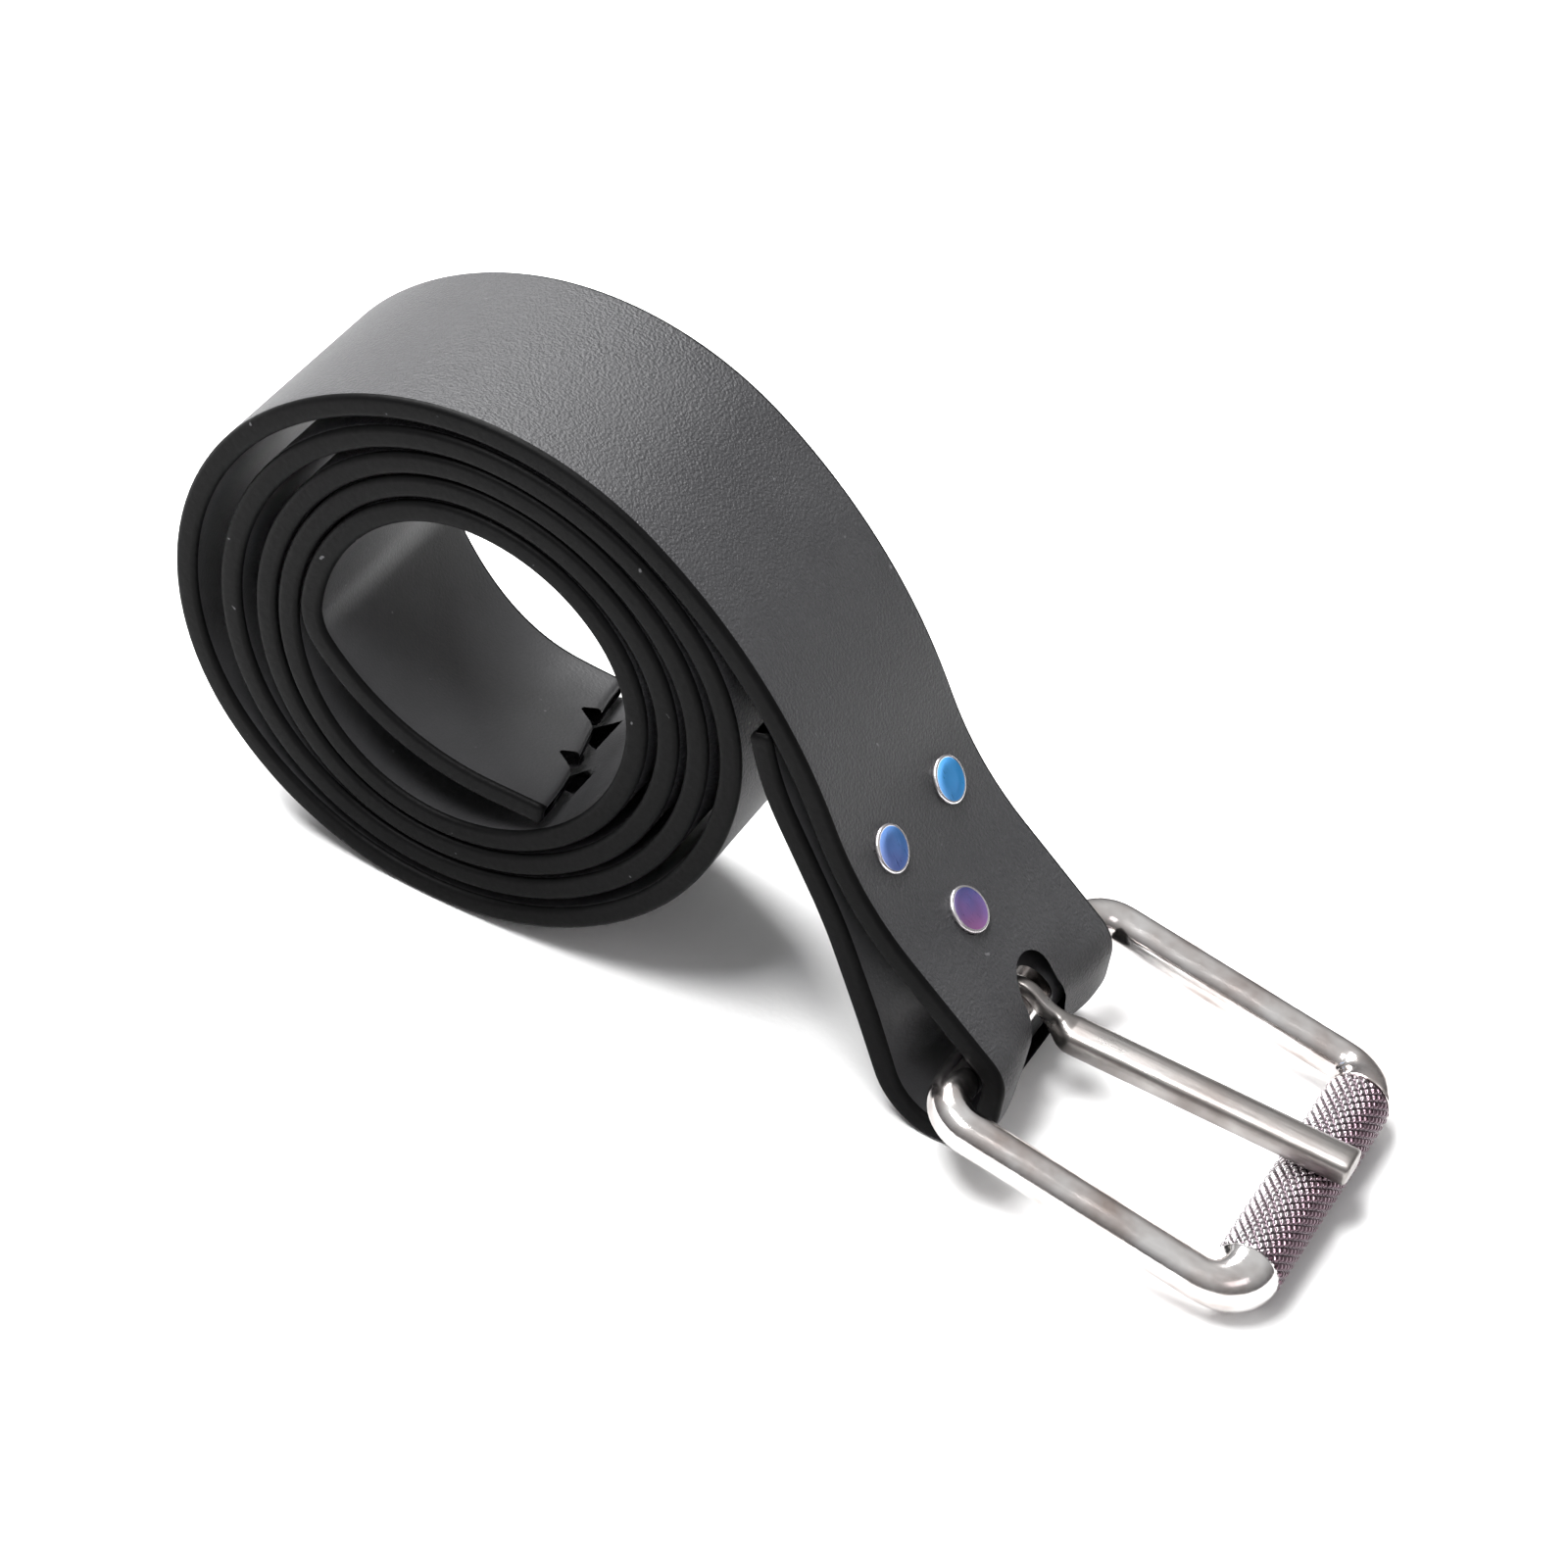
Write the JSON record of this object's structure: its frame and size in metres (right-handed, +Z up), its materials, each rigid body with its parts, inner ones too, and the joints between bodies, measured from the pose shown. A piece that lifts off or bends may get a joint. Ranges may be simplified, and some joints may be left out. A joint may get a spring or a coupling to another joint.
{
  "type": "weight belt",
  "caption": "Coiled rubber diver's weight belt with a riveted pin buckle on a round steel wire frame with a knurled roller.",
  "frame": {"origin": "centre of the part's bounding box in X and Y, on the surface it stands on", "axes": "+X from the coil to the buckle, +Y across the strap's width, +Z up"},
  "size_m": [0.244, 0.0772, 0.1128],
  "materials": {
    "strap_rubber": "satin",
    "wire_steel": "polished",
    "roller_steel": "knurled",
    "prong_steel": "brushed",
    "rivet_steel": "polished"
  },
  "bodies": {
    "strap_body": {"strap": "strap_rubber", "rivet_cap_1": "rivet_steel", "rivet_post_1": "rivet_steel", "rivet_cap_2": "rivet_steel", "rivet_post_2": "rivet_steel", "rivet_cap_3": "rivet_steel", "rivet_post_3": "rivet_steel"},
    "frame_body": {"buckle_frame": "wire_steel"},
    "roller_body": {"roller_sleeve": "roller_steel"},
    "prong_body": {"prong": "prong_steel"}
  },
  "joints": [
    {"name": "frame_hinge", "type": "hinge", "parent": "strap_body", "child": "frame_body", "pos_m": [0.05196, 0, 0.01658], "axis": [0, -1, 0], "range_deg": [-20, 30]},
    {"name": "prong_hinge", "type": "hinge", "parent": "frame_body", "child": "prong_body", "pos_m": [0.05196, 0, 0.01658], "axis": [0, -1, 0], "range_deg": [0, 45]},
    {"name": "roller_spin", "type": "hinge", "parent": "frame_body", "child": "roller_body", "pos_m": [0.11397, 0, 0.00665], "axis": [0, 1, 0], "continuous": true}
  ]
}
